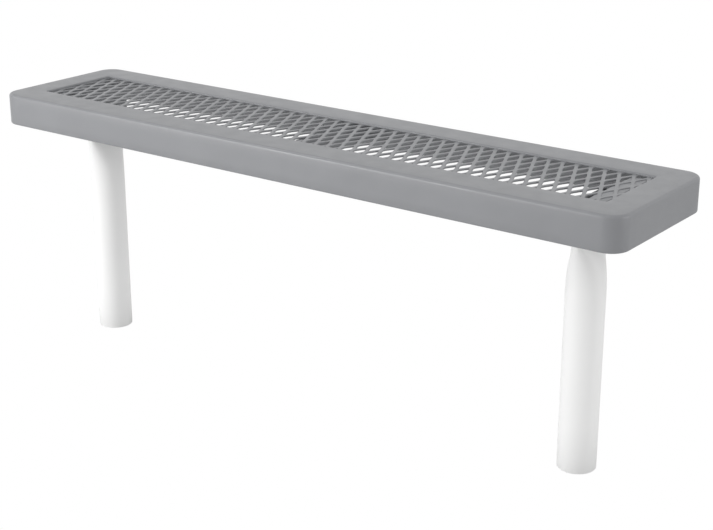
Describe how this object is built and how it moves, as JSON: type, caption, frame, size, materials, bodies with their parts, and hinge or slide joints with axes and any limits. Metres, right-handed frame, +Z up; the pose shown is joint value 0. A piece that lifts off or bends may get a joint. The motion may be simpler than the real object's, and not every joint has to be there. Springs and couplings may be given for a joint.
{
  "type": "backless bench",
  "caption": "Backless bench: long narrow seat of expanded metal in a formed border with rounded corners, on round posts with pressed tops.",
  "frame": {"origin": "on the ground, under the middle of the seat", "axes": "+X along the bench, +Y across it towards the rear rail, +Z up"},
  "size_m": [1.2192, 0.2676, 0.452],
  "materials": {
    "seat_coating": "smooth grey thermoplastic dip coating on steel, satin",
    "post_coating": "white powder coat, satin",
    "fastener_steel": "zinc plated"
  },
  "bodies": {
    "root": {"front_rail": "seat_coating", "rear_rail": "seat_coating", "left_end_cap": "seat_coating", "right_end_cap": "seat_coating", "seat_mesh": "seat_coating", "centre_brace": "seat_coating", "left_bracket": "seat_coating", "left_post": "post_coating", "left_bolts": "fastener_steel", "left_nuts": "fastener_steel", "left_head_washers": "fastener_steel", "left_nut_washers": "fastener_steel", "right_bracket": "seat_coating", "right_post": "post_coating", "right_bolts": "fastener_steel", "right_nuts": "fastener_steel", "right_head_washers": "fastener_steel", "right_nut_washers": "fastener_steel"}
  },
  "joints": []
}
